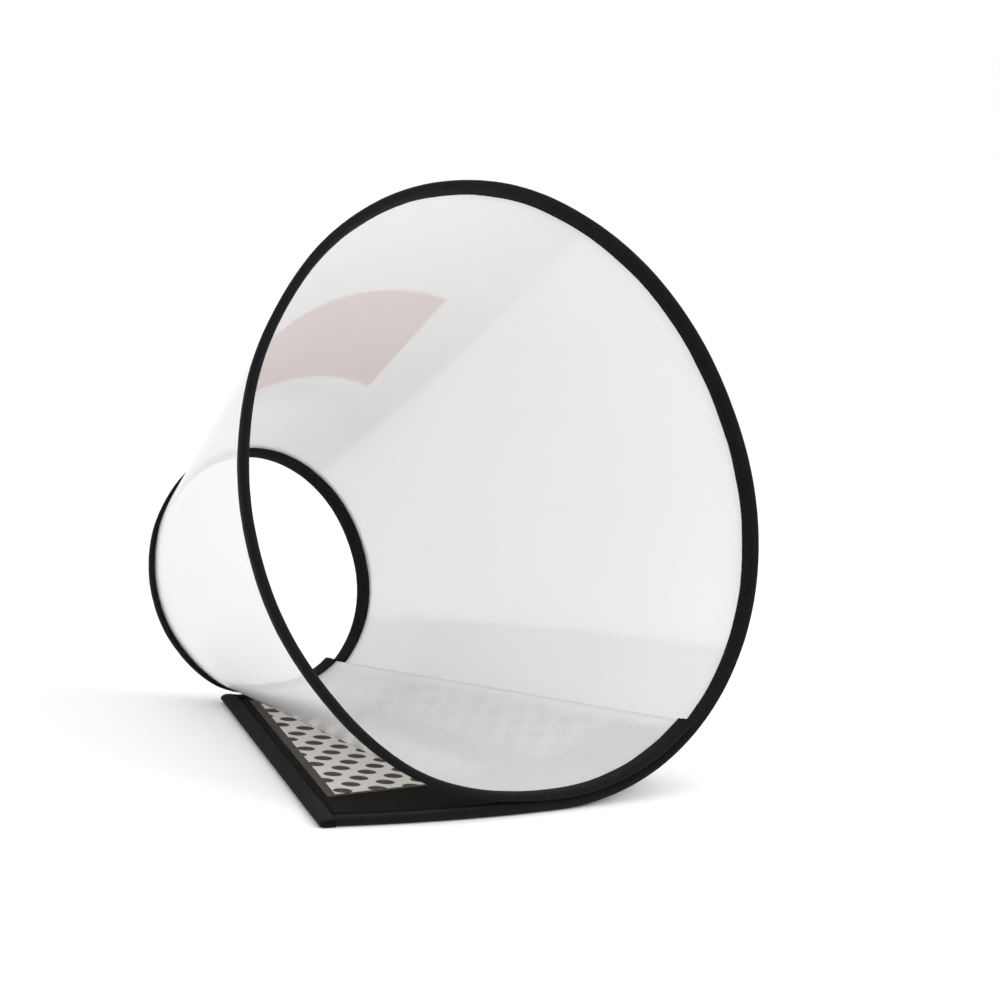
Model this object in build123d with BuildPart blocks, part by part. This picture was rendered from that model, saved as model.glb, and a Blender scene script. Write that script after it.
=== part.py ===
"""Elizabethan collar: a sheet of clear film rolled into a cone, lying on its side on its closure.

Frame, in millimetres: +Z up, the floor at z = 0, the origin at the middle of the collar's footprint. The
cone touches the floor along +X, which points out of the mouth. The flap lies on the floor on the -Y side.
Two kinds of place are used: on the cone, s is the distance from the apex along the film and turn is the
angle about the cone's axis, from the contact line towards +Y; on the flap, turn is the angle about the
vertical through the apex, from the contact line towards -Y.
"""
import os
from math import cos, degrees, radians, sin

from build123d import *

os.makedirs("parts", exist_ok=True)

# Driving dimensions of the sheet
neck_s = 190.0  # apex to the neck edge, along the film
rim_s = 440.0  # apex to the rim edge, along the film
half_angle = 20.0  # of the rolled cone
film_thick = 0.6

# Folded cloth binding on the two curved edges and the flap's free edge; the inner end is bare
bind_thick = 4.4
bind_width = 8.6
bind_proud = 1.6  # of it that stands past the edge of the film

# Hook-and-loop closure
hook_thick = 2.0
hook_width = 25.0
hook_end = 372.0  # turn at which the hook tape ends, just past the contact line
backing_thick = 1.3
facing_thick = 0.6
tape_margin = 2.0  # between the closure's pieces and the bindings
facing_margin_end = 3.6  # black backing that shows beside the perforated facing
facing_margin_rim = 39.0
facing_margin_neck = 6.0

# Where the sheet bends, as angles on the cone or on the flap
flap_fold = 6.5
upper_fold = 110.0
side_fold = 225.0
inner_fold = 300.0
inner_end = 396.0
spiral_start = 325.0  # the inner layer draws in from here
spiral_end = 360.0  # and lies parallel to the outer one from here on
loop_end = 33.0
flap_corner = (428.4, -124.5)  # from the apex to a point on the flap's slanted free edge
flap_edge_tilt = 21.5  # of that edge from +X
joint_gap = 0.3

# Printed label
label_s = (266.0, 346.0)
label_turn = (159.0, 215.0)
label_thick = 0.2

# Lines of stitching
thread_wide = 0.7
thread_high = 0.35

layer_gap = 0.5
film_half = film_thick / 2
bind_half = bind_thick / 2
panel_top = film_half + backing_thick + facing_thick
layer_step = panel_top + layer_gap + hook_thick + film_half  # between the two layers of film
tilt = radians(half_angle)
front_x = rim_s + bind_proud  # furthest forward and back from the apex
back_x = (neck_s - bind_proud) * cos(2 * tilt) - bind_half * sin(2 * tilt)

apex = Vector(-(front_x + back_x) / 2, 0, bind_half)
cone_dir = Vector(cos(tilt), 0, sin(tilt))
down_dir = Vector(sin(tilt), 0, -cos(tilt))
cone_axis = Axis(apex, cone_dir)
flap_axis = Axis(apex, Vector(0, 0, -1))
gap_turn_cone = degrees(joint_gap / 2 / (neck_s * sin(tilt)))
gap_turn_flap = degrees(joint_gap / 2 / neck_s)


def around(turn):
    """Unit vector across the cone's axis, at this turn."""
    return down_dir * cos(radians(turn)) + Vector(0, 1, 0) * sin(radians(turn))


def cone_plane(turn):
    """Plane through the cone's axis: x along the film from the apex, y out of the cone."""
    along = cone_dir * cos(tilt) + around(turn) * sin(tilt)
    across = Vector(0, 1, 0) * cos(radians(turn)) - down_dir * sin(radians(turn))
    return Plane(origin=apex, x_dir=along, z_dir=across)


def flap_plane(turn):
    """Upright plane through the apex: x along the flap, y down, out of the rolled sheet."""
    along = Vector(cos(radians(turn)), -sin(radians(turn)), 0)
    across = Vector(sin(radians(turn)), cos(radians(turn)), 0)
    return Plane(origin=apex, x_dir=along, z_dir=across)


def rectangle(s_low, s_high, out_low, out_high):
    """Cross-section outline: s along the film, out from its middle surface, outwards positive."""
    with BuildLine() as outline:
        Polyline((s_low, out_low), (s_high, out_low), (s_high, out_high), (s_low, out_high), close=True)
    return outline.line


def channel(film_edge, inward):
    """Cross-section of the binding folded over an edge of the film; inward is 1 or -1 along s."""
    outer = film_edge - inward * bind_proud
    inner = outer + inward * bind_width
    with BuildLine() as outline:
        Polyline(
            (inner, film_half), (film_edge, film_half), (film_edge, -film_half), (inner, -film_half),
            (inner, -bind_half), (outer, -bind_half), (outer, bind_half), (inner, bind_half), close=True,
        )
    return outline.line


def on_cone(section, low, high):
    """Adds a band of this cross-section to the part, round the cone from one turn to another."""
    with BuildSketch(cone_plane(low)) as sketch:
        with BuildLine():
            add(section)
        make_face()
    revolve(sketch.sketch, axis=cone_axis, revolution_arc=high - low)


def on_flap(section, low, high):
    """Adds a band of this cross-section to the part, flat on the floor from one turn to another."""
    with BuildSketch(flap_plane(low)) as sketch:
        with BuildLine():
            add(section)
        make_face()
    revolve(sketch.sketch, axis=flap_axis, revolution_arc=high - low)


# Cross-sections of the long pieces
film_section = rectangle(neck_s, rim_s, -film_half, film_half)
rim_section = channel(rim_s, -1)
neck_section = channel(neck_s, 1)
panel_s = (neck_s - bind_proud + bind_width + tape_margin, rim_s + bind_proud - bind_width - tape_margin)
backing_section = rectangle(*panel_s, -film_half - backing_thick, -film_half)
facing_s = (panel_s[0] + facing_margin_neck, panel_s[1] - facing_margin_rim)
facing_section = rectangle(*facing_s, -panel_top, -film_half - backing_thick)
label_section = rectangle(*label_s, film_half, film_half + label_thick)

stitch_inset = 7.0  # from the outer edge of the binding
rim_thread_s = rim_s + bind_proud - stitch_inset
neck_thread_s = neck_s - bind_proud + stitch_inset


def thread_section(middle):
    """Cross-section of a line of stitching on the inner face of a binding."""
    s_low, s_high = middle - thread_wide / 2, middle + thread_wide / 2
    return rectangle(s_low, s_high, -bind_half - thread_high, -bind_half)


def finish(part, label):
    """Names a finished piece and writes it."""
    part.part.label = label
    export_step(part.part, f"parts/{label}.step")


# Root: the flap's near half, the bottom and the right-hand wall
root_low = 0
root_high = upper_fold - gap_turn_cone
flap_high = flap_fold - gap_turn_flap
for label, section in (
    ("film_bottom", film_section),
    ("rim_binding_bottom", rim_section),
    ("neck_binding_bottom", neck_section),
):
    with BuildPart() as root_piece:
        on_flap(section, root_low, flap_high)
        on_cone(section, root_low, root_high)
    finish(root_piece, label)

for label, section in (("loop_backing_bottom", backing_section), ("loop_facing_bottom", facing_section)):
    with BuildPart() as root_panel:
        on_flap(section, root_low, flap_high)
        on_cone(section, root_low, loop_end)
    finish(root_panel, label)

for label, middle in (("rim_stitching_bottom", rim_thread_s), ("neck_stitching_bottom", neck_thread_s)):
    with BuildPart() as root_thread:
        on_flap(thread_section(middle), root_low, flap_high)
        on_cone(thread_section(middle), root_low, root_high)
    finish(root_thread, label)

# Upper and side walls: the same six sections between their folds
for place, low, high in (("upper", upper_fold, side_fold), ("side", side_fold, inner_fold)):
    for label, section in (
        ("film", film_section),
        ("rim_binding", rim_section),
        ("neck_binding", neck_section),
        ("rim_stitching", thread_section(rim_thread_s)),
        ("neck_stitching", thread_section(neck_thread_s)),
    ):
        with BuildPart() as wall_piece:
            on_cone(section, low + gap_turn_cone, high - gap_turn_cone)
        finish(wall_piece, f"{label}_{place}")

with BuildPart() as size_label:
    on_cone(label_section, *label_turn)
finish(size_label, "size_label")

# Flap tip: from the fold to the slanted free edge
edge_dir = Vector(cos(radians(flap_edge_tilt)), -sin(radians(flap_edge_tilt)), 0)
edge_out = Vector(-sin(radians(flap_edge_tilt)), -cos(radians(flap_edge_tilt)), 0)
edge_point = Vector(apex.X + flap_corner[0], flap_corner[1], 0)
tip_reach = 20.0  # a turn past the free edge, everywhere
tip_low = flap_fold + gap_turn_flap


def edge_plane(inset):
    """Upright plane along the flap's free edge, this far in from it; its normal points off the flap."""
    return Plane(origin=edge_point - edge_out * inset, x_dir=edge_dir, z_dir=edge_out)


def tip_piece(section, label, inset):
    """Makes a band on the flap's tip, cut parallel to its free edge."""
    with BuildPart() as piece:
        on_flap(section, tip_low, tip_reach)
        split(bisect_by=edge_plane(inset), keep=Keep.BOTTOM)
    finish(piece, label)
    return piece.part


strip_width = bind_width - bind_proud
panel_inset = strip_width + tape_margin
film_flap = tip_piece(film_section, "film_flap", 0)
tip_piece(rim_section, "rim_binding_flap", strip_width)
tip_piece(neck_section, "neck_binding_flap", strip_width)
tip_piece(backing_section, "loop_backing_flap", panel_inset)
tip_piece(facing_section, "loop_facing_flap", panel_inset + facing_margin_end)
tip_piece(thread_section(rim_thread_s), "rim_stitching_flap", strip_width)
tip_piece(thread_section(neck_thread_s), "neck_stitching_flap", strip_width)

whole_strip = rectangle(neck_s - bind_proud, rim_s + bind_proud, -bind_half, bind_half)
with BuildPart() as flap_end_binding:
    on_flap(whole_strip, tip_low, tip_reach)
    split(bisect_by=edge_plane(-bind_proud), keep=Keep.BOTTOM)
    split(bisect_by=edge_plane(strip_width), keep=Keep.TOP)
    add(film_flap, mode=Mode.SUBTRACT)
finish(flap_end_binding, "end_binding_flap")

with BuildPart() as flap_end_thread:
    on_flap(rectangle(neck_thread_s, rim_thread_s, -bind_half - thread_high, -bind_half), tip_low, tip_reach)
    thread_inset = stitch_inset - bind_proud
    split(bisect_by=edge_plane(thread_inset - thread_wide / 2), keep=Keep.BOTTOM)
    split(bisect_by=edge_plane(thread_inset + thread_wide / 2), keep=Keep.TOP)
finish(flap_end_thread, "end_stitching_flap")


# Inner end: it steps in by a layer and lies on the closure panel
def step_in(turn):
    """How far the inner layer lies inside the outer one."""
    share = min(max((turn - spiral_start) / (spiral_end - spiral_start), 0), 1)
    return layer_step * share * share * (3 - 2 * share)


def station(s):
    """Plane across the cone's axis through s, with its x towards the contact line."""
    return Plane(origin=apex + cone_dir * (s * cos(tilt)), x_dir=down_dir, z_dir=cone_dir)


def radius_at(s, out, turn):
    """Distance from the cone's axis, in the plane of s, of a point that far out of the film."""
    return s * sin(tilt) + (out - step_in(turn)) / cos(tilt)


def spiral_points(s, out, low, high):
    """Points along the inner end, in the plane of s."""
    steps = 12
    turns = [low + (high - low) * i / steps for i in range(steps + 1)]
    return [(radius_at(s, out, t) * cos(radians(t)), radius_at(s, out, t) * sin(radians(t))) for t in turns]


def inner_block(s_range, out_range, turn_low, turn_high):
    """Adds a solid of the inner end to the part; the turns are functions of s."""
    faces = []
    for s in s_range:
        outer = spiral_points(s, out_range[1], turn_low(s), turn_high(s))
        inner = spiral_points(s, out_range[0], turn_low(s), turn_high(s))
        with BuildSketch(station(s)) as sketch:
            with BuildLine():
                Spline(*outer)
                Line(outer[-1], inner[-1])
                Spline(*inner)
                Line(inner[0], outer[0])
            make_face()
        faces.append(sketch.sketch)
    loft(faces, ruled=True)


def inner_start(s):
    """Turn at which the inner end begins."""
    return inner_fold + gap_turn_cone


def before_end(distance):
    """Turn this far back from the inner end's free edge, in millimetres, as a function of s."""
    return lambda s: inner_end - degrees(distance / (s * sin(tilt)))


film_range = (-film_half, film_half)
bind_range = (-bind_half, bind_half)
rim_strip = (rim_s + bind_proud - bind_width, rim_s + bind_proud)
neck_strip = (neck_s - bind_proud, neck_s - bind_proud + bind_width)
with BuildPart() as film_inner:
    inner_block((neck_s, rim_s), film_range, inner_start, before_end(0))
finish(film_inner, "film_inner")

for label, strip in (("rim_binding_inner", rim_strip), ("neck_binding_inner", neck_strip)):
    with BuildPart() as inner_binding:
        inner_block(strip, bind_range, inner_start, before_end(0))
        add(film_inner.part, mode=Mode.SUBTRACT)
    finish(inner_binding, label)

thread_range = (-bind_half - thread_high, -bind_half)
for label, middle in (("rim_stitching_inner", rim_thread_s), ("neck_stitching_inner", neck_thread_s)):
    with BuildPart() as inner_thread:
        thread_strip = (middle - thread_wide / 2, middle + thread_wide / 2)
        inner_block(thread_strip, thread_range, inner_start, before_end(0))
    finish(inner_thread, label)


def hook_low(s):
    """Turn at which the hook tape begins, its width before its end."""
    return hook_end - degrees(hook_width / (s * sin(tilt)))


with BuildPart() as hook_tape:
    inner_block(panel_s, (film_half, film_half + hook_thick), hook_low, lambda s: hook_end)
    add(film_inner.part, mode=Mode.SUBTRACT)
finish(hook_tape, "hook_tape")
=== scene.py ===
"""Looks of an elizabethan collar: a frosted film sheet rolled into a cone, edged with black cloth tape,
closed by a hook-and-loop panel, lying on its side on its free flap.

Everything is laid out on the flat pattern of the sheet and then rolled up. A place on the pattern is
(s, q, out): s is the distance from the cone's apex, q the pattern's angle in radians, 0 at the line where
the cone touches the floor, negative on the flap, and out the distance outwards from the film's middle.
Lengths are in metres.
"""

from math import asin, atan2, ceil, cos, degrees, hypot, pi, radians, sin, tan

import bmesh
import bpy
from mathutils import Matrix, Vector, noise


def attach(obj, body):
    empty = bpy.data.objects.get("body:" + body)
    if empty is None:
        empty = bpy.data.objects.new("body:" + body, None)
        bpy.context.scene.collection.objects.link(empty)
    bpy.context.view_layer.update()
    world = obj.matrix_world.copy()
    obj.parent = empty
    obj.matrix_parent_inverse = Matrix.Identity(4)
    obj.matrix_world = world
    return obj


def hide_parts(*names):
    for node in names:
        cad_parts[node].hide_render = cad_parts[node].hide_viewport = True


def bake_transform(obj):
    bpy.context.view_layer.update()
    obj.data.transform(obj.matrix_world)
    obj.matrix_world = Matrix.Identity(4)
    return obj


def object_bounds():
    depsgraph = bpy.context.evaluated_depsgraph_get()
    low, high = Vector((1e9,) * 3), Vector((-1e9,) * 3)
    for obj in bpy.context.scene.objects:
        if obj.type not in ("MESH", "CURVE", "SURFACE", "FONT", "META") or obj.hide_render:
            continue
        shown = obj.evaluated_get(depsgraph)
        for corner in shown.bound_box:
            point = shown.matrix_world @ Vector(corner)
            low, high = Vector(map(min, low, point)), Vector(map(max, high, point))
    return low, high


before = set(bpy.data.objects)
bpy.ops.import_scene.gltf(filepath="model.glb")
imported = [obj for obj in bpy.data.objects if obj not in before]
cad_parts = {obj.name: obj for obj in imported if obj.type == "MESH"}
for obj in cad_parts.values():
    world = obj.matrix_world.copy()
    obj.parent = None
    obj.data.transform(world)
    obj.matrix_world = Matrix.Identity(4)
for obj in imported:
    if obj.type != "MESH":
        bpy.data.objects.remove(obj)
cad_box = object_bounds()

# Driving dimensions of the sheet, as in the CAD
NECK_S, RIM_S = 0.190, 0.440
TILT = radians(20)
BIND_HALF, BIND_PROUD, BIND_WIDTH = 0.0022, 0.0016, 0.0086
FILM_HALF = 0.0003
STRIP = BIND_WIDTH - BIND_PROUD
STITCH_IN = 0.0054  # from the film's edge
BACKING_THICK, HOOK_THICK = 0.0013, 0.0020
LAYER_STEP = 0.0050
INNER_FOLD, SPIRAL_START, SPIRAL_END, INNER_END = 300, 325, 360, 396
EDGE_TILT = radians(21.5)
EDGE_PAST_APEX = 0.0412  # how far the flap's free edge, carried on, passes from the apex

APEX = Vector((cad_box[1][0] - RIM_S - BIND_PROUD, 0, BIND_HALF))
CONE_DIR = Vector((cos(TILT), 0, sin(TILT)))
DOWN_DIR = Vector((sin(TILT), 0, -cos(TILT)))
SIDE_DIR = Vector((0, 1, 0))


def to_q(turn):
    """Pattern angle of a turn about the cone's axis, in degrees."""
    return radians(turn) * sin(TILT)


def smooth(x):
    """0 below 0, 1 above 1 and an even S between."""
    x = min(max(x, 0), 1)
    return x * x * (3 - 2 * x)


def step_in(turn):
    """How far the inner layer lies inside the outer one, at this turn in degrees."""
    return LAYER_STEP * smooth((turn - SPIRAL_START) / (SPIRAL_END - SPIRAL_START))


def sway(s, turn):
    """How far the free part of the cone stands out of round: nothing where its two layers lie together.
    The amplitudes are in millimetres at the rim."""
    free = smooth((turn - 55) / 60) * smooth((330 - turn) / 40)
    t = radians(turn)
    slow = 1.66 * cos(2 * t) + 0.19 * sin(2 * t) - 0.97 * cos(3 * t) + 1.21 * sin(3 * t) - 0.75
    ripple = 0.16 * sin(9 * t + 0.4) + 0.12 * sin(14 * t - 1.3)
    return free * s / RIM_S * (slow + ripple) / 1000


def place(s, q, out=0.0):
    """The point in the room of a place on the pattern."""
    if q < 0:
        return APEX + Vector((s * cos(q), s * sin(q), -out))
    angle = q / sin(TILT)
    around = DOWN_DIR * cos(angle) + SIDE_DIR * sin(angle)
    turn = degrees(angle)
    along = CONE_DIR * cos(TILT) + around * sin(TILT)
    outward = around * cos(TILT) - CONE_DIR * sin(TILT)
    return APEX + along * s + outward * (out - step_in(turn) + sway(s, turn))


def free_edge(s, inset=0.0):
    """Pattern angle of the flap's slanted free edge, or of a line this far in from it."""
    return asin((EDGE_PAST_APEX + inset) / s) - EDGE_TILT


def inner_edge(s, inset=0.0):
    """Pattern angle of the inner end's edge, or of a line this far in from it."""
    return to_q(INNER_END) - inset / s


def spread(low, high, count):
    """count + 1 even values from low to high."""
    return [low + (high - low) * i / count for i in range(count + 1)]


# The sheet's long pieces are made in four zones, from low to high in degrees of turn. Each zone also lists
# one fold of the CAD, a half_bend to each side of it, and its two bodies, first and second; nothing here
# reads these.
FLAP_FOLD = radians(-6.5)
ZONES = {
    "flap": {
        "high": 55, "fold": FLAP_FOLD, "half_bend": 0.020,
        "bodies": ("flap", "bottom"),
    },
    "upper": {
        "low": 55, "high": 167.5, "fold": to_q(110), "half_bend": 0.045,
        "bodies": ("bottom", "upper_wall"),
    },
    "side": {
        "low": 167.5, "high": 262.5, "fold": to_q(225), "half_bend": 0.037,
        "bodies": ("upper_wall", "side_wall"),
    },
    "inner": {
        "low": 262.5, "fold": to_q(INNER_FOLD), "half_bend": 0.037,
        "bodies": ("side_wall", "inner_end"),
    },
}


def zone_low(zone, inset=0.0):
    """Where a zone begins, as a function of s; inset counts only at the flap's free edge."""
    if zone == "flap":
        return lambda s: free_edge(s, inset)
    return lambda s: to_q(ZONES[zone]["low"])


def zone_high(zone, inset=0.0):
    """Where a zone ends, as a function of s; inset counts only at the inner end's edge."""
    if zone == "inner":
        return lambda s: inner_edge(s, inset)
    return lambda s: to_q(ZONES[zone]["high"])


def bend(obj):
    """Bakes obj's placement into its mesh."""
    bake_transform(obj)


# ---------------------------------------------------------------- meshes


class Mesh:
    """Collects vertices, faces and pattern coordinates, then makes the object."""

    def __init__(self):
        self.points = []
        self.uvs = []
        self.faces = []
        self.kinds = []

    def add(self, point, uv):
        self.points.append(point)
        self.uvs.append(uv)
        return len(self.points) - 1

    def face(self, ids, kind=0):
        self.faces.append(tuple(ids))
        self.kinds.append(kind)

    def strip(self, first, second, flip=False, kind=0):
        """Faces between two rows of vertices."""
        for a, b, c, d in zip(first, first[1:], second[1:], second):
            self.face((d, c, b, a) if flip else (a, b, c, d), kind)

    def make(self, name, mats, slot, smooth_faces=True):
        data = bpy.data.meshes.new(name)
        data.from_pydata(self.points, [], self.faces)
        layer = data.uv_layers.new(name="pattern")
        for loop in data.loops:
            layer.data[loop.index].uv = self.uvs[loop.vertex_index]
        data.polygons.foreach_set("use_smooth", [smooth_faces] * len(data.polygons))
        for mat in mats:
            data.materials.append(mat)
        data.polygons.foreach_set("material_index", self.kinds)
        obj = bpy.data.objects.new(name, data)
        bpy.context.scene.collection.objects.link(obj)
        return obj


TAPE_FULLER = 0.16


def fullness(q):
    """How much the tape's thickness swells where it neither rests on the floor nor lies on another layer."""
    turn = degrees(q / sin(TILT))
    return 1 + TAPE_FULLER * smooth((turn - 45) / 50) * smooth((345 - turn) / 40)


def pattern_xy(s, q):
    """Flat coordinates of a place on the pattern."""
    return s * cos(q), s * sin(q)


def slab(
    columns, rows, where, outs, walls=(True, True, True, True), uv=pattern_xy, inner_kind=0, kind=0
):
    """A thick sheet: where(u, v) gives (s, q), and outs its outer and inner distance.
    walls says which of its sides are closed: first column, last column, first row, last row.
    kind is the material of its outer face and sides, and inner_kind, where it is more, that of its inner
    face."""
    mesh = Mesh()
    skins = []
    for out in outs:
        skin = []
        for u in columns:
            line = []
            for v in rows:
                s, q = where(u, v)
                height = out(s, q) if callable(out) else out
                line.append(mesh.add(place(s, q, height), uv(s, q)))
            skin.append(line)
        skins.append(skin)
    outer, inner = skins
    for i in range(len(columns) - 1):
        mesh.strip(outer[i], outer[i + 1], flip=True, kind=kind)
        mesh.strip(inner[i], inner[i + 1], kind=max(kind, inner_kind))
    sides = (
        (outer[0], inner[0]),
        (inner[-1], outer[-1]),
        ([line[0] for line in inner], [line[0] for line in outer]),
        ([line[-1] for line in outer], [line[-1] for line in inner]),
    )
    for closed, (first, second) in zip(walls, sides):
        if closed:
            mesh.strip(first, second, kind=kind)
    return mesh


def wander(length, across, seed):
    """How far the tape's cut edge, and a little its nose, stray along its length."""
    slow = noise.noise(Vector((length * 60, seed, 0.3)))
    quick = noise.noise(Vector((length * 420, seed, 4.7)))
    share = 0.15 + 0.85 * smooth(across / 0.0065)
    return share * (0.00035 * slow + 0.00012 * quick)


def ribbon(profile, stations, where, caps=(True, True), seed=0.0, flip=False):
    """A closed profile of (across, out) swept along stations: where(station, across) gives (s, q, length).
    flip turns the faces over, for a profile that runs round the other way."""
    mesh = Mesh()
    rings = []
    for station in stations:
        ring = []
        run = 0.0
        for i, (across, out) in enumerate(profile):
            if i:
                run += hypot(across - profile[i - 1][0], out - profile[i - 1][1])
            length = where(station, across)[2]
            side = 1 if out > 0 else -1
            s, q, length = where(station, across + wander(length, across, seed + side))
            height = out * fullness(q) + fray(length, across, out)
            ring.append(mesh.add(place(s, q, height), (length, run)))
        rings.append(ring)
    for a, b in zip(rings, rings[1:]):
        mesh.strip(a + a[:1], b + b[:1], flip)
    if caps[0]:
        mesh.face(reversed(rings[0]) if flip else rings[0])
    if caps[1]:
        mesh.face(rings[-1] if flip else reversed(rings[-1]))
    return mesh


def fray(length, across, out):
    """Small unevenness of folded cloth tape, always inwards of its full thickness."""
    if abs(out) < FILM_HALF * 1.5:
        return 0.0
    side = 1 if out > 0 else -1
    fine = noise.noise(Vector((length * 300, across * 420, side * 3.0)))
    slow = noise.noise(Vector((length * 45, across * 60, side * 7.0)))
    return -side * (0.00007 * (1 + fine) + 0.00008 * (1 + slow))


# Cross-section of the folded tape, from its cut edge on the outside round the nose to the one inside:
# (distance in from the film's edge, distance out from the film's middle)
HALF_TAPE = [
    (STRIP, 0.00033), (STRIP + 0.00004, 0.00125), (STRIP - 0.00015, 0.00178), (STRIP - 0.0007, 0.00202),
    (0.0059, 0.00198), (STITCH_IN, 0.00172), (0.0049, 0.00198), (0.0043, 0.00214), (0.0033, 0.0022),
    (0.0020, 0.0022), (0.0008, 0.00212), (0.0, 0.0019), (-0.00065, 0.00155), (-0.00115, 0.00108),
    (-0.00147, 0.00055),
]
TAPE = HALF_TAPE + [(-BIND_PROUD, 0.0)] + [(across, -out) for across, out in reversed(HALF_TAPE)]
TAPE += [(0.0, -0.00033), (0.0, 0.00033)]


STITCH_PITCH, STITCH_LONG, THREAD_RADIUS = 0.0036, 0.0027, 0.00026
STITCH_OUT = 0.00168  # from the film's middle to the thread's
STITCH_SIDES = 7
# Along a stitch: its place as a share of the length, its thickness and its height as shares of the radius
STITCH_RINGS = ((-0.5, 0.55, -0.9), (-0.34, 1, 0.0), (0, 1.05, 0.22), (0.34, 1, 0.0), (0.5, 0.55, -0.9))


def capsule_rows(mesh, middle, direction, outward, length, radius):
    """One stitch: a short thread lying along direction, its ends dipping into the cloth."""
    side = direction.cross(outward).normalized()
    rings = []
    for share, thick, dip in STITCH_RINGS:
        centre = middle + direction * (length * share) + outward * (radius * dip)
        ring = []
        for k in range(STITCH_SIDES):
            angle = 2 * pi * k / STITCH_SIDES
            offset = outward * cos(angle) + side * sin(angle)
            ring.append(mesh.add(centre + offset * radius * thick, (length * share, radius * angle)))
        rings.append(ring)
    for a, b in zip(rings, rings[1:]):
        mesh.strip(a + a[:1], b + b[:1])
    mesh.face(rings[0])
    mesh.face(reversed(rings[-1]))


def stitch_run(mesh, path, length):
    """Stitches on both faces along path(l), which gives (s, q) at a length."""
    count = max(1, round(length / STITCH_PITCH))
    for k in range(count):
        at = (k + 0.5) * length / count
        for side in (1, -1):
            out = side * STITCH_OUT * fullness(path(at)[1])
            middle = place(*path(at), out)
            ahead = place(*path(at + 0.0005), out)
            beyond = place(*path(at), out + side * 0.001)
            direction, outward = (ahead - middle).normalized(), (beyond - middle).normalized()
            capsule_rows(mesh, middle, direction, outward, STITCH_LONG, THREAD_RADIUS)


# ---------------------------------------------------------------- materials


def new_material(name):
    """An empty node material: (material, nodes, link function, shader)."""
    mat = bpy.data.materials.new(name)
    mat.use_nodes = True
    nodes = mat.node_tree.nodes
    shader = nodes["Principled BSDF"]
    return mat, nodes, mat.node_tree.links.new, shader


def pattern_uv(nodes, link, scale):
    """The pattern coordinates, scaled."""
    uv = nodes.new("ShaderNodeUVMap")
    uv.uv_map = "pattern"
    mapping = nodes.new("ShaderNodeMapping")
    mapping.inputs["Scale"].default_value = (scale, scale, scale)
    link(uv.outputs["UV"], mapping.inputs["Vector"])
    return mapping.outputs["Vector"]


def room(nodes, link, scale):
    """The object's own coordinates, scaled."""
    coord = nodes.new("ShaderNodeTexCoord")
    mapping = nodes.new("ShaderNodeMapping")
    mapping.inputs["Scale"].default_value = (scale, scale, scale)
    link(coord.outputs["Object"], mapping.inputs["Vector"])
    return mapping.outputs["Vector"]


def noise_value(nodes, link, vector, scale, detail=3, rough=0.55):
    tex = nodes.new("ShaderNodeTexNoise")
    tex.inputs["Scale"].default_value = scale
    tex.inputs["Detail"].default_value = detail
    tex.inputs["Roughness"].default_value = rough
    link(vector, tex.inputs["Vector"])
    return tex.outputs["Fac"]


def remap(nodes, link, value, low, high, from_low=0.3, from_high=0.7):
    node = nodes.new("ShaderNodeMapRange")
    node.inputs["From Min"].default_value = from_low
    node.inputs["From Max"].default_value = from_high
    node.inputs["To Min"].default_value = low
    node.inputs["To Max"].default_value = high
    link(value, node.inputs["Value"])
    return node.outputs["Result"]


def blend_colour(nodes, link, share, first, second):
    """A colour that goes from first to second with share."""
    mix = nodes.new("ShaderNodeMix")
    mix.data_type = "RGBA"
    for socket, colour in ((mix.inputs["A"], first), (mix.inputs["B"], second)):
        if isinstance(colour, tuple):
            socket.default_value = (*colour, 1)
        else:
            link(colour, socket)
    link(share, mix.inputs["Factor"])
    return mix.outputs["Result"]


def bump(nodes, link, height, shader, strength, distance):
    node = nodes.new("ShaderNodeBump")
    node.inputs["Strength"].default_value = strength
    node.inputs["Distance"].default_value = distance
    link(height, node.inputs["Height"])
    link(node.outputs["Normal"], shader.inputs["Normal"])


def film_material():
    """The film's frosted face: it scatters most of the light, and lets a little straight through."""
    mat, nodes, link, shader = new_material("frosted_film")
    where = pattern_uv(nodes, link, 1)
    cloud = noise_value(nodes, link, where, 9, 3)
    cloudy = remap(nodes, link, cloud, 0, 1)
    tint = blend_colour(nodes, link, cloudy, (0.840, 0.839, 0.837), (0.860, 0.860, 0.859))
    link(tint, shader.inputs["Base Color"])
    shader.inputs["Specular IOR Level"].default_value = 0.25
    link(remap(nodes, link, noise_value(nodes, link, where, 50, 2), 0.30, 0.34), shader.inputs["Roughness"])
    bump(nodes, link, noise_value(nodes, link, where, 7, 0), shader, 0.05, 0.002)
    through = nodes.new("ShaderNodeBsdfTranslucent")
    through.inputs["Color"].default_value = (0.85, 0.85, 0.85, 1)
    scatter = nodes.new("ShaderNodeMixShader")
    scatter.inputs["Fac"].default_value = 0.36
    link(shader.outputs["BSDF"], scatter.inputs[1])
    link(through.outputs["BSDF"], scatter.inputs[2])
    clear = nodes.new("ShaderNodeBsdfTransparent")
    clear.inputs["Color"].default_value = (0.98, 0.98, 0.98, 1)
    mix = nodes.new("ShaderNodeMixShader")
    link(remap(nodes, link, cloud, 0.22, 0.25), mix.inputs["Fac"])
    link(scatter.outputs["Shader"], mix.inputs[1])
    link(clear.outputs["BSDF"], mix.inputs[2])
    link(mix.outputs["Shader"], nodes["Material Output"].inputs["Surface"])
    return mat


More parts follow.
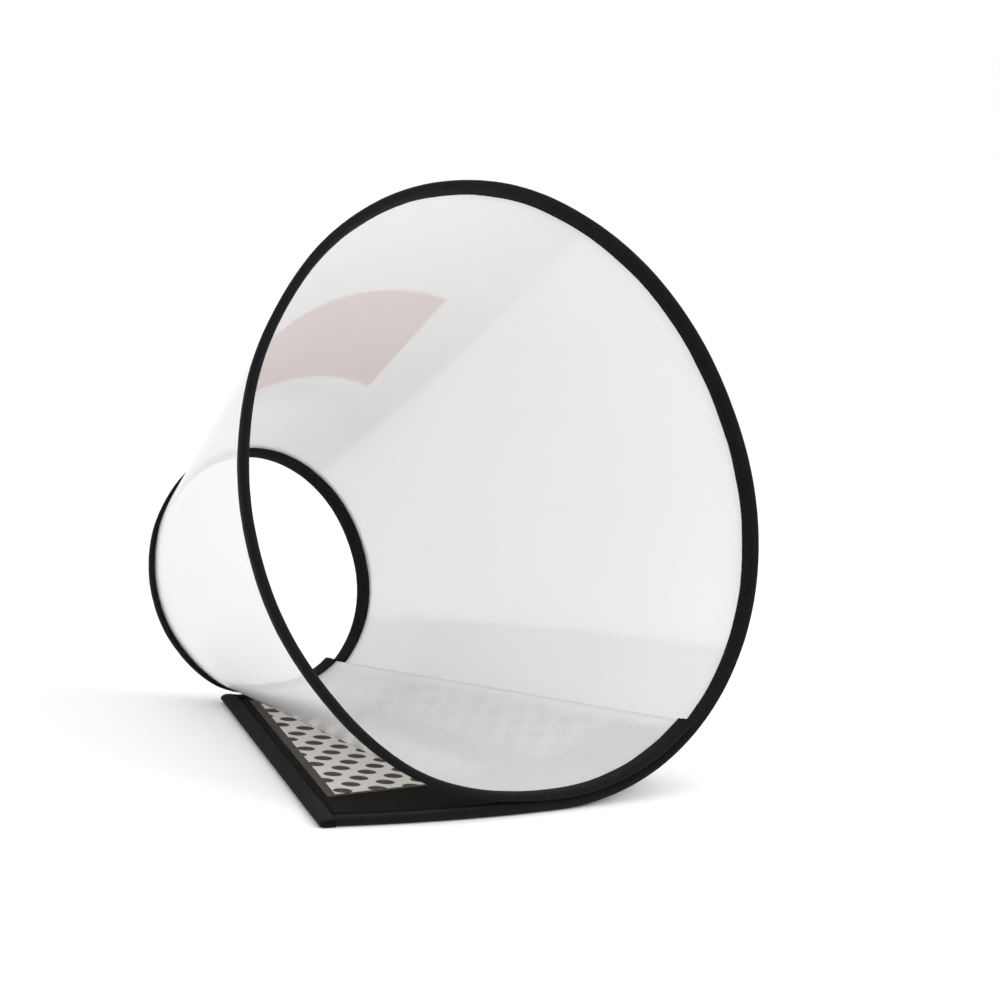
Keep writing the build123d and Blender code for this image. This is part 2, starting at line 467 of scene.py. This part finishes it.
def gloss_material():
    """The film's smooth outer face: clear, with a soft gloss."""
    mat, nodes, link, shader = new_material("film_gloss")
    where = pattern_uv(nodes, link, 1)
    nodes.remove(shader)
    clear = nodes.new("ShaderNodeBsdfTransparent")
    clear.inputs["Color"].default_value = (0.97, 0.97, 0.97, 1)
    gloss = nodes.new("ShaderNodeBsdfGlossy")
    gloss.inputs["Color"].default_value = (1, 1, 1, 1)
    link(remap(nodes, link, noise_value(nodes, link, where, 6, 0), 0.20, 0.27), gloss.inputs["Roughness"])
    edge = nodes.new("ShaderNodeFresnel")
    edge.inputs["IOR"].default_value = 1.45
    mix = nodes.new("ShaderNodeMixShader")
    link(edge.outputs["Fac"], mix.inputs["Fac"])
    link(clear.outputs["BSDF"], mix.inputs[1])
    link(gloss.outputs["BSDF"], mix.inputs[2])
    link(mix.outputs["Shader"], nodes["Material Output"].inputs["Surface"])
    return mat


def weave(nodes, link, vector, pitch):
    """Height of a plain weave: two crossing sets of threads."""
    heights = []
    for direction in ("X", "Y"):
        wave = nodes.new("ShaderNodeTexWave")
        wave.bands_direction = direction
        wave.inputs["Scale"].default_value = 1 / pitch / (2 * pi) * 2
        wave.inputs["Distortion"].default_value = 0.6
        wave.inputs["Detail"].default_value = 1
        link(vector, wave.inputs["Vector"])
        heights.append(wave.outputs["Fac"])
    over = nodes.new("ShaderNodeMath")
    over.operation = "MAXIMUM"
    link(heights[0], over.inputs[0])
    link(heights[1], over.inputs[1])
    return over.outputs["Value"]


def cloth_material(name, dark, light, pitch, roughness=0.92, sheen=0.12):
    """Cloth tape: a fine weave with lint in it."""
    mat, nodes, link, shader = new_material(name)
    where = pattern_uv(nodes, link, 1)
    threads = weave(nodes, link, where, pitch)
    lint = noise_value(nodes, link, where, 700, 4)
    share = nodes.new("ShaderNodeMath")
    share.operation = "MULTIPLY"
    link(threads, share.inputs[0])
    link(remap(nodes, link, lint, 0.3, 1.0), share.inputs[1])
    link(blend_colour(nodes, link, share.outputs["Value"], dark, light), shader.inputs["Base Color"])
    shader.inputs["Roughness"].default_value = roughness
    shader.inputs["Specular IOR Level"].default_value = 0.08
    shader.inputs["Sheen Weight"].default_value = sheen
    shader.inputs["Sheen Roughness"].default_value = 0.5
    shader.inputs["Sheen Tint"].default_value = (0.25, 0.25, 0.26, 1)
    bump(nodes, link, share.outputs["Value"], shader, 0.55, 0.00025)
    return mat


def plain_material(name, dark, light, scale, roughness, grain=0.3, depth=0.0002, shine=0.3):
    """A material with fine grain in its colour and surface."""
    mat, nodes, link, shader = new_material(name)
    where = room(nodes, link, 1)
    grains = noise_value(nodes, link, where, scale, 4)
    colour = blend_colour(nodes, link, remap(nodes, link, grains, 0, 1), dark, light)
    link(colour, shader.inputs["Base Color"])
    link(remap(nodes, link, grains, roughness - 0.05, roughness + 0.05), shader.inputs["Roughness"])
    shader.inputs["Specular IOR Level"].default_value = shine
    bump(nodes, link, grains, shader, grain, depth)
    return mat


def calc(nodes, link, operation, first, second=0.0):
    """A Math node of two sockets or numbers."""
    node = nodes.new("ShaderNodeMath")
    node.operation = operation
    for value, socket in zip((first, second), node.inputs):
        if isinstance(value, (int, float)):
            socket.default_value = value
        else:
            link(value, socket)
    return node.outputs["Value"]


def inside(nodes, link, value, low, high, soft=0.0003):
    """1 where value lies between low and high, 0 elsewhere."""
    rise = remap(nodes, link, value, 0, 1, low - soft, low + soft)
    fall = remap(nodes, link, value, 1, 0, high - soft, high + soft)
    return calc(nodes, link, "MULTIPLY", rise, fall)


# On the label, in metres from its centre: (along from, along to, up from, up to)
LABEL_BARS = (
    (-0.040, 0.006, 0.020, 0.023),
    (-0.040, -0.006, 0.012, 0.014),
    (0.020, 0.032, 0.0145, 0.0175),
)


def label_material():
    """Glossy orange print on a pale ground, with plain shapes in place of its lettering."""
    mat, nodes, link, shader = new_material("orange_label")
    uv = nodes.new("ShaderNodeUVMap")
    uv.uv_map = "pattern"
    parts = nodes.new("ShaderNodeSeparateXYZ")
    link(uv.outputs["UV"], parts.inputs["Vector"])
    along, up = parts.outputs["X"], parts.outputs["Y"]
    grain = noise_value(nodes, link, uv.outputs["UV"], 70, 3)
    grainy = remap(nodes, link, grain, 0, 1)
    ink = blend_colour(nodes, link, grainy, (0.83, 0.135, 0.012), (0.90, 0.19, 0.03))
    band = inside(nodes, link, up, -0.040, -0.006, 0.0006)
    sideways = remap(nodes, link, along, 0, 1, -0.05, 0.05)
    pale = blend_colour(nodes, link, sideways, (0.90, 0.30, 0.10), (0.86, 0.36, 0.15))
    ground = blend_colour(nodes, link, band, ink, pale)
    ring_x = calc(nodes, link, "SUBTRACT", along, 0.026)
    ring_y = calc(nodes, link, "SUBTRACT", up, 0.016)
    square_x = calc(nodes, link, "POWER", ring_x, 2.0)
    square_y = calc(nodes, link, "POWER", ring_y, 2.0)
    squares = calc(nodes, link, "ADD", square_x, square_y)
    marks = inside(nodes, link, calc(nodes, link, "SQRT", squares), 0.0095, 0.0105, 0.0002)
    for x_low, x_high, y_low, y_high in LABEL_BARS:
        bar_x = inside(nodes, link, along, x_low, x_high)
        bar_y = inside(nodes, link, up, y_low, y_high)
        marks = calc(nodes, link, "MAXIMUM", marks, calc(nodes, link, "MULTIPLY", bar_x, bar_y))
    marked = blend_colour(nodes, link, marks, ground, (0.10, 0.06, 0.05))
    panel_x = inside(nodes, link, along, -0.040, 0.012)
    panel_y = inside(nodes, link, up, -0.034, -0.014)
    panel = calc(nodes, link, "MULTIPLY", panel_x, panel_y)
    done = blend_colour(nodes, link, calc(nodes, link, "MULTIPLY", panel, 0.35), marked, (0.95, 0.62, 0.42))
    link(done, shader.inputs["Base Color"])
    link(remap(nodes, link, grain, 0.24, 0.34), shader.inputs["Roughness"])
    shader.inputs["Coat Weight"].default_value = 0.4
    shader.inputs["Coat Roughness"].default_value = 0.12
    bump(nodes, link, grain, shader, 0.05, 0.0002)
    return mat


FILM = film_material()
FILM_GLOSS = gloss_material()
TAPE_CLOTH = cloth_material(
    "binding_cloth", (0.0028, 0.0030, 0.0034), (0.0098, 0.0106, 0.0112), 0.0006, sheen=0.09
)
THREAD = plain_material("black_thread", (0.006, 0.006, 0.006), (0.018, 0.018, 0.018), 3000, 0.6, shine=0.15)
LOOP_CLOTH = plain_material(
    "loop_cloth", (0.003, 0.0028, 0.0026), (0.012, 0.011, 0.010), 1400, 0.93, 1.0, 0.0005, 0.08
)
FACING = plain_material("perforated_facing", (0.66, 0.625, 0.58), (0.76, 0.725, 0.68), 900, 0.6, 0.3)
FACING_FELT = plain_material(
    "facing_felt", (0.050, 0.044, 0.036), (0.125, 0.110, 0.094), 1100, 0.95, 1.0, 0.0003, 0.08
)
HOOK = plain_material("hook_tape_nylon", (0.008, 0.008, 0.009), (0.032, 0.032, 0.033), 1500, 0.42, 0.4)
LABEL = label_material()
LABEL_BACK = plain_material("label_adhesive", (0.92, 0.25, 0.03), (0.97, 0.30, 0.05), 260, 0.5, 0.2)

# ---------------------------------------------------------------- film, binding and stitching

REPLACED = {"flap": ("flap", "bottom"), "upper": ("upper",), "side": ("side",), "inner": ("inner",)}


def column_turns(zone, step=1.25):
    """Shares along a zone, fine enough for its curve."""
    low = zone_low(zone)(RIM_S)
    high = zone_high(zone)(RIM_S)
    return spread(0, 1, ceil((high - low) / to_q(step)))


for zone in ZONES:
    low, high = zone_low(zone), zone_high(zone)
    shares = column_turns(zone)
    ends = (zone == "flap", zone == "inner")

    def on_zone(share, s):
        """Pattern place at a share of the zone."""
        return s, low(s) + (high(s) - low(s)) * share

    rows = spread(NECK_S, RIM_S, 30)
    film = slab(shares, rows, on_zone, (FILM_HALF, -FILM_HALF), (*ends, True, True), inner_kind=1)
    film = film.make(f"film_{zone}_sheet", (FILM_GLOSS, FILM), "film")
    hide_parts(*[f"film_{part}" for part in REPLACED[zone]])
    bend(film)

    for edge, edge_s, inward in (("rim", RIM_S, -1), ("neck", NECK_S, 1)):
        tape_low, tape_high = zone_low(zone, STRIP - 0.0004), zone_high(zone, 0.0002)

        def on_tape(share, across):
            """Pattern place on the folded tape, and the length run along it."""
            s = edge_s + inward * across
            q = tape_low(s) + (tape_high(s) - tape_low(s)) * share
            return s, q, edge_s * (q + 0.5)

        tape = ribbon(TAPE, column_turns(zone, 0.8), on_tape, ends, edge_s * 50, flip=edge == "rim")
        tape = tape.make(f"{edge}_binding_{zone}_tape", (TAPE_CLOTH,), "binding")
        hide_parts(*[f"{edge}_binding_{part}" for part in REPLACED[zone]])
        bend(tape)

        stitches = Mesh()
        stitch_s = edge_s + inward * STITCH_IN
        start = zone_low(zone, BIND_WIDTH)(stitch_s)
        stop = zone_high(zone, 0.001)(stitch_s)
        stitch_run(stitches, lambda at: (stitch_s, start + at / stitch_s), (stop - start) * stitch_s)
        stitches = stitches.make(f"{edge}_stitches_{zone}", (THREAD,), "thread")
        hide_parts(*[f"{edge}_stitching_{part}" for part in REPLACED[zone]])
        bend(stitches)


def on_end(s, across):
    """Pattern place on the flap's straight end tape, and the length run along it."""
    return s, free_edge(s, across), s


end_tape = ribbon(TAPE, spread(NECK_S - BIND_PROUD, RIM_S + BIND_PROUD, 300), on_end, seed=5.0, flip=True)
end_tape = end_tape.make("end_binding_tape", (TAPE_CLOTH,), "binding")
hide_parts("end_binding_flap")
bend(end_tape)

end_stitches = Mesh()
first_s = NECK_S + STITCH_IN
stitch_run(
    end_stitches,
    lambda at: (first_s + at, free_edge(first_s + at, STITCH_IN)),
    RIM_S - STITCH_IN - first_s,
)
end_stitches = end_stitches.make("end_stitches", (THREAD,), "thread")
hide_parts("end_stitching_flap")
bend(end_stitches)

# ---------------------------------------------------------------- closure panel

PANEL_END = 33  # turn at which the loop panel ends, past the contact line
GLUE_GAP = 0.00002  # between the film and what is stuck to it
panel_low, panel_high = NECK_S + STRIP + 0.002, RIM_S - STRIP - 0.002
backing_low = -FILM_HALF - BACKING_THICK


def on_backing(share, s):
    """Pattern place on the loop panel's backing."""
    low = free_edge(s, STRIP + 0.0005)
    return s, low + (to_q(PANEL_END) - low) * share


backing_rows = spread(panel_low, panel_high, 60)
backing = slab(spread(0, 1, 60), backing_rows, on_backing, (-FILM_HALF - GLUE_GAP, backing_low))
backing = backing.make("loop_panel_backing", (LOOP_CLOTH,), "loop")
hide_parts("loop_backing_flap", "loop_backing_bottom")
bend(backing)

# Half the spacings of the holes, along and across the staggered rows, and their radius
HOLES_ALONG, HOLES_ACROSS, HOLE_RADIUS = 0.0101, 0.0091, 0.0047
HOLES_TURN, HOLES_FROM = radians(-8.2), Vector((0.3658, -0.0636, 0))  # the rows run a little askew
FACING_FROM, FACING_TO = 0.203, 0.3875
# How far in from the free edge the perforated facing and the felt under it begin
FACING_INSET, FELT_INSET = 0.0157, 0.0113
FACING_FILM, FELT_THICK = 0.0002, 0.0003
felt_low = backing_low - FELT_THICK


def on_felt(share, x):
    """Pattern place on the felt under the perforated facing, which shows in its holes and as its border."""
    low = (EDGE_PAST_APEX + FELT_INSET - x * sin(EDGE_TILT)) / cos(EDGE_TILT)
    y = low + (x * tan(to_q(PANEL_END)) - low) * share
    return hypot(x, y), atan2(y, x)


def facing_mesh():
    """The perforated facing: staggered round holes in a sheet trimmed by straight cuts."""
    flat = bmesh.new()
    side_steps = 6
    askew = Matrix.Rotation(HOLES_TURN, 3, "Z")
    for row in range(-20, 5):
        for cell in range(-6, 9):
            centre = Vector((row * HOLES_ALONG, (2 * cell + row % 2) * HOLES_ACROSS, 0))
            outline, hole = [], []
            for k in range(4 * side_steps):
                corner, step = divmod(k, side_steps)
                a, b = (
                    Vector((cos(pi / 2 * c) * HOLES_ALONG, sin(pi / 2 * c) * HOLES_ACROSS, 0))
                    for c in (corner, corner + 1)
                )
                outline.append(flat.verts.new(HOLES_FROM + askew @ (centre + a.lerp(b, step / side_steps))))
                angle = pi / 2 * (k / side_steps)
                on_rim = Vector((cos(angle), sin(angle), 0)) * HOLE_RADIUS
                hole.append(flat.verts.new(HOLES_FROM + askew @ (centre + on_rim)))
            for k in range(len(hole)):
                n = (k + 1) % len(hole)
                flat.faces.new((outline[k], outline[n], hole[n], hole[k]))
    bmesh.ops.remove_doubles(flat, verts=flat.verts, dist=1e-6)
    edge_out = Vector((-sin(EDGE_TILT), -cos(EDGE_TILT), 0))
    end_q = to_q(PANEL_END)
    cuts = (
        (Vector((FACING_FROM, 0, 0)), Vector((-1, 0, 0))),
        (Vector((FACING_TO, 0, 0)), Vector((1, 0, 0))),
        (edge_out * (-EDGE_PAST_APEX - FACING_INSET), edge_out),
        (Vector((cos(end_q), sin(end_q), 0)) * NECK_S, Vector((-sin(end_q), cos(end_q), 0))),
    )
    for at, outwards in cuts:
        geometry = flat.verts[:] + flat.edges[:] + flat.faces[:]
        bmesh.ops.bisect_plane(
            flat, geom=geometry, plane_co=at, plane_no=outwards, clear_outer=True, dist=1e-6
        )
    flat.verts.index_update()
    mesh = slab(spread(0, 1, 60), spread(FACING_FROM, FACING_TO + 0.002, 60), on_felt,
                (backing_low, felt_low), kind=1)
    skins = []
    for out in (felt_low, felt_low - FACING_FILM):
        skin = []
        for vert in flat.verts:
            s, q = hypot(vert.co.x, vert.co.y), atan2(vert.co.y, vert.co.x)
            skin.append(mesh.add(place(s, q, out), (vert.co.x, vert.co.y)))
        skins.append(skin)
    for face in flat.faces:
        ids = [v.index for v in face.verts]
        mesh.face(skins[1][i] for i in ids)
        mesh.face(skins[0][i] for i in reversed(ids))
    for edge in flat.edges:
        if len(edge.link_faces) == 1:
            loop = edge.link_faces[0].loops
            a, b = next((l.vert.index, l.link_loop_next.vert.index) for l in loop if l.edge == edge)
            mesh.face((skins[1][b], skins[1][a], skins[0][a], skins[0][b]))
    flat.free()
    return mesh


facing = facing_mesh().make("loop_panel_facing", (FACING, FACING_FELT), "facing", smooth_faces=False)
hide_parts("loop_facing_flap", "loop_facing_bottom")
bend(facing)

HOOK_WIDTH, HOOK_RIDGES = 0.025, 20
HOOK_BASE, HOOK_TOOTH = 0.0009, 0.0016  # thickness under the ridges, and pitch of the teeth
HOOK_END = to_q(372)


def hook_height(s, q):
    """Top of the hook tape: long ridges cut into teeth, with a plain selvedge at both sides."""
    across = (HOOK_END - q) * s / HOOK_WIDTH
    ridge = 0.5 - 0.5 * cos(2 * pi * across * HOOK_RIDGES)
    teeth = 0.6 + 0.4 * cos(2 * pi * s / HOOK_TOOTH)
    plain = smooth(across / 0.06) * smooth((1 - across) / 0.06)
    return FILM_HALF + HOOK_BASE + (HOOK_THICK - HOOK_BASE) * ridge * teeth * plain


def on_hook(share, s):
    """Pattern place on the hook tape."""
    return s, HOOK_END - share * HOOK_WIDTH / s


hook_columns, hook_rows = spread(1, 0, HOOK_RIDGES * 6), spread(panel_low, panel_high, 420)
hook = slab(hook_columns, hook_rows, on_hook, (hook_height, FILM_HALF + GLUE_GAP))
hook = hook.make("hook_tape_ridged", (HOOK,), "hook")
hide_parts("hook_tape")
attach(hook, "inner_end")

# ---------------------------------------------------------------- size label

LABEL_S = (0.266, 0.346)
LABEL_Q = (to_q(159), to_q(215))
LABEL_TILT = radians(5)  # the sticker sits a little askew
label_centre = Matrix.Rotation(sum(LABEL_Q) / 2, 2) @ Vector((sum(LABEL_S) / 2, 0))


def on_label(share, s):
    """Pattern place on the label."""
    q = LABEL_Q[0] + (LABEL_Q[1] - LABEL_Q[0]) * share
    spot = Matrix.Rotation(LABEL_TILT, 2) @ (Vector(pattern_xy(s, q)) - label_centre) + label_centre
    return spot.length, atan2(spot.y, spot.x)


def label_uv(s, q):
    """Distances along and across the label from its centre."""
    turned = Matrix.Rotation(-sum(LABEL_Q) / 2 - LABEL_TILT, 2) @ (Vector(pattern_xy(s, q)) - label_centre)
    return turned.y, turned.x


LABEL_OUTS = (FILM_HALF + 0.00023, FILM_HALF + 0.00003)
label = slab(spread(0, 1, 64), spread(*LABEL_S, 30), on_label, LABEL_OUTS, uv=label_uv, inner_kind=1)
label = label.make("size_label_print", (LABEL, LABEL_BACK), "label")
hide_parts("size_label")
bend(label)

# ---------------------------------------------------------------- stage, lights and camera

floor_mat, _, _, floor_shader = new_material("studio_floor")
floor_shader.inputs["Base Color"].default_value = (0.97, 0.97, 0.97, 1)
floor_shader.inputs["Roughness"].default_value = 0.9
bpy.ops.mesh.primitive_plane_add(size=60, location=(0, 0, 0))
floor = bpy.context.object
floor.name = "studio_floor"
floor.data.materials.append(floor_mat)

world = bpy.data.worlds.new("studio")
bpy.context.scene.world = world
world.use_nodes = True
world.node_tree.nodes["Background"].inputs["Color"].default_value = (1, 1, 1, 1)
world.node_tree.nodes["Background"].inputs["Strength"].default_value = 1.03


def softbox(name, spot, aim, size, power):
    """A square area light at spot, turned to aim."""
    light = bpy.data.lights.new(name, "AREA")
    light.size = size
    light.energy = power
    obj = bpy.data.objects.new(name, light)
    obj.location = spot
    obj.rotation_euler = (Vector(aim) - Vector(spot)).to_track_quat("-Z", "Y").to_euler()
    bpy.context.scene.collection.objects.link(obj)


centre = (0.0, 0.0, 0.12)
softbox("softbox_top", (-0.3, -0.4, 1.6), centre, 1.2, 1.2)
softbox("softbox_mouth", (1.9, 0.5, 1.0), centre, 1.5, 25)

CAMERA_AT = Vector((1.3181, -0.9234, 0.3777))
CAMERA_TURN, CAMERA_DIP, CAMERA_ROLL = radians(143.14), radians(8.84), radians(3.70)
camera_data = bpy.data.cameras.new("camera")
camera_data.sensor_width = 36
camera_data.lens = 116.97
camera_data.clip_end = 200
camera = bpy.data.objects.new("camera", camera_data)
look = Vector((cos(CAMERA_DIP) * cos(CAMERA_TURN), cos(CAMERA_DIP) * sin(CAMERA_TURN), -sin(CAMERA_DIP)))
right = look.cross(Vector((0, 0, 1))).normalized()
up = right.cross(look)
tipped_right = right * cos(CAMERA_ROLL) + up * sin(CAMERA_ROLL)
tipped_up = up * cos(CAMERA_ROLL) - right * sin(CAMERA_ROLL)
turn = Matrix((tipped_right, tipped_up, -look)).transposed().to_4x4()
camera.matrix_world = Matrix.Translation(CAMERA_AT) @ turn
bpy.context.scene.collection.objects.link(camera)
bpy.context.scene.camera = camera
bpy.context.scene.view_settings.view_transform = "Standard"
